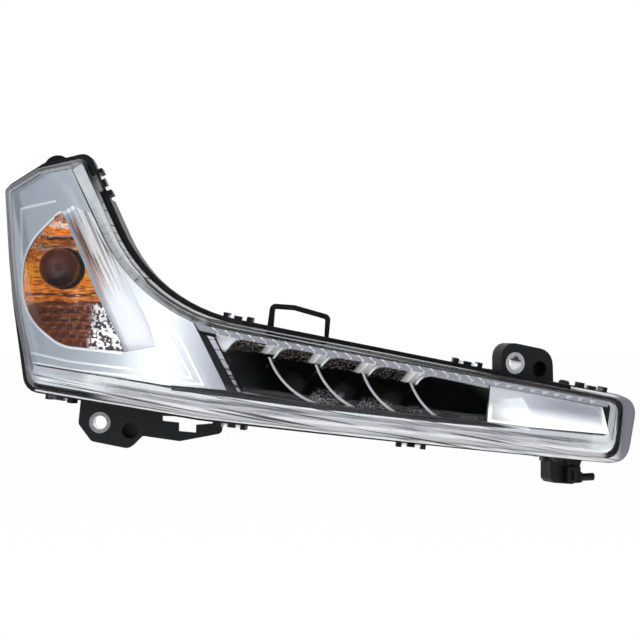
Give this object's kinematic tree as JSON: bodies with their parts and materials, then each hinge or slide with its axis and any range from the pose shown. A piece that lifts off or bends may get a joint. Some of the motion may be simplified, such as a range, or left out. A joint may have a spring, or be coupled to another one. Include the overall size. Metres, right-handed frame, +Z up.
{
  "type": "vehicle indicator lamp",
  "caption": "L-shaped front corner lamp: indicator with amber bulb in the upright end, row of light bowls in the arm, one clear lens, black housing with fixing lugs.",
  "frame": {"origin": "middle of the bore of the steel bush in the upper fixing lug, at the inner end of the arm", "axes": "+X along the arm towards the middle of the car, -Y the way the lamp faces, +Z up"},
  "size_m": [0.4086, 0.1305, 0.2159],
  "materials": {
    "black_housing": "moulded, fine matt texture",
    "clear_lens": "clear, hard-coated, polished",
    "sealant": "black sealing compound",
    "metallised_trim": "vacuum-metallised",
    "satin_silver": "satin silver, metallised",
    "bright_reflector": "bright, vacuum-metallised",
    "amber_glass": "amber-dipped glass",
    "bulb_stem": "clear",
    "bulb_brass": "nickel-washed",
    "dark_grey_plastic": "moulded",
    "red_rubber": "moulded",
    "smoked_chrome": "smoked chrome, metallised",
    "board": "white solder mask",
    "led_resin": "yellow phosphor",
    "heat_sink": "pressed sheet",
    "clear_prism": "clear, polished",
    "gloss_black": "gloss",
    "bright_strip": "chrome-plated",
    "black_rubber": "moulded",
    "bracket_grey": "glass-filled, moulded",
    "bush_steel": "turned, zinc-plated",
    "black_peg": "moulded",
    "black_loop": "moulded",
    "screw_steel": "zinc-plated"
  },
  "bodies": {
    "root": {"housing": "black_housing", "outer_lens": "clear_lens", "sealing_bead": "sealant", "inner_frame": "metallised_trim", "indicator_bezel": "satin_silver", "indicator_reflector": "bright_reflector", "bulb_glass": "amber_glass", "bulb_filament": "bulb_stem", "bulb_base": "bulb_brass", "bulb_holder": "dark_grey_plastic", "bulb_contacts": "bulb_brass", "bulb_holder_seal": "red_rubber", "light_row_reflector": "smoked_chrome", "led_board": "board", "leds": "led_resin", "led_heat_sink": "heat_sink", "prism_bar": "clear_prism", "divider_trim": "gloss_black", "divider_strip": "bright_strip", "lower_trim_bar": "gloss_black", "lower_strip": "bright_strip", "end_trim": "satin_silver", "row_connector": "dark_grey_plastic", "row_connector_pins": "bulb_brass", "vent_cap": "black_rubber", "upper_fixing_lug": "bracket_grey", "upper_bush": "bush_steel", "lower_fixing_bracket": "bracket_grey", "lower_bush": "bush_steel", "locating_bracket": "bracket_grey", "locating_peg": "black_peg", "retaining_loop": "black_loop", "rubber_buffer": "black_rubber", "inner_screws": "screw_steel", "bracket_screws": "screw_steel"}
  },
  "joints": []
}
